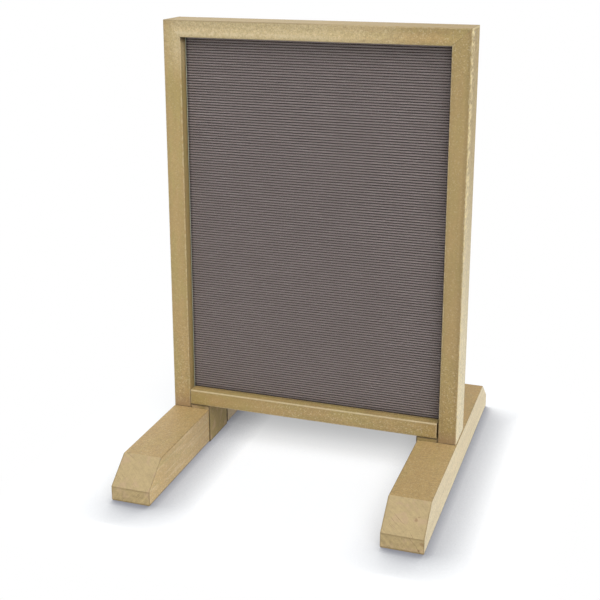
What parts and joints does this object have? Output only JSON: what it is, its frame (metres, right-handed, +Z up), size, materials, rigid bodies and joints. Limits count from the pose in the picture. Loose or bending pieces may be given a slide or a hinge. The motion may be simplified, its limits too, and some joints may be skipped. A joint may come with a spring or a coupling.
{
  "type": "message board",
  "caption": "Free-standing message board: a mitred lumber frame on chamfered feet, with a grooved letter panel behind a clear lift-out pane on each side.",
  "frame": {"origin": "on the floor under the middle of the board", "axes": "+Z up, +X to the right seen from the front, the front faces -Y"},
  "size_m": [0.754, 0.812, 1.097],
  "materials": {
    "lumber": "sand-coloured moulded lumber, finely stippled",
    "sawn_lumber": "sawn faces of the same lumber, left rough",
    "core_board": "plain exterior board",
    "letter_panel": "matt mauve-grey, grooved",
    "clear_pane": "clear, polished edges",
    "fasteners": "stainless"
  },
  "bodies": {
    "board": {"left_post": "lumber", "right_post": "lumber", "top_rail": "lumber", "bottom_rail": "lumber", "left_foot": "lumber", "right_foot": "lumber", "left_foot_block": "sawn_lumber", "right_foot_block": "sawn_lumber", "core_board": "core_board", "front_letter_panel": "letter_panel", "rear_letter_panel": "letter_panel", "left_front_foot_bolt": "fasteners", "left_rear_foot_bolt": "fasteners", "right_front_foot_bolt": "fasteners", "right_rear_foot_bolt": "fasteners", "left_front_foot_washer": "fasteners", "left_rear_foot_washer": "fasteners", "right_front_foot_washer": "fasteners", "right_rear_foot_washer": "fasteners", "left_front_block_screw": "fasteners", "left_rear_block_screw": "fasteners", "right_front_block_screw": "fasteners", "right_rear_block_screw": "fasteners", "left_upper_mitre_nail": "fasteners", "left_lower_mitre_nail": "fasteners", "right_upper_mitre_nail": "fasteners", "right_lower_mitre_nail": "fasteners"},
    "front_pane": {"front_pane": "clear_pane"},
    "rear_pane": {"rear_pane": "clear_pane"}
  },
  "joints": [
    {"name": "front_pane_lift", "type": "slide", "parent": "board", "child": "front_pane", "axis": [0, 0, 1], "range_m": [0, 0.012]},
    {"name": "rear_pane_lift", "type": "slide", "parent": "board", "child": "rear_pane", "axis": [0, 0, 1], "range_m": [0, 0.012]}
  ]
}
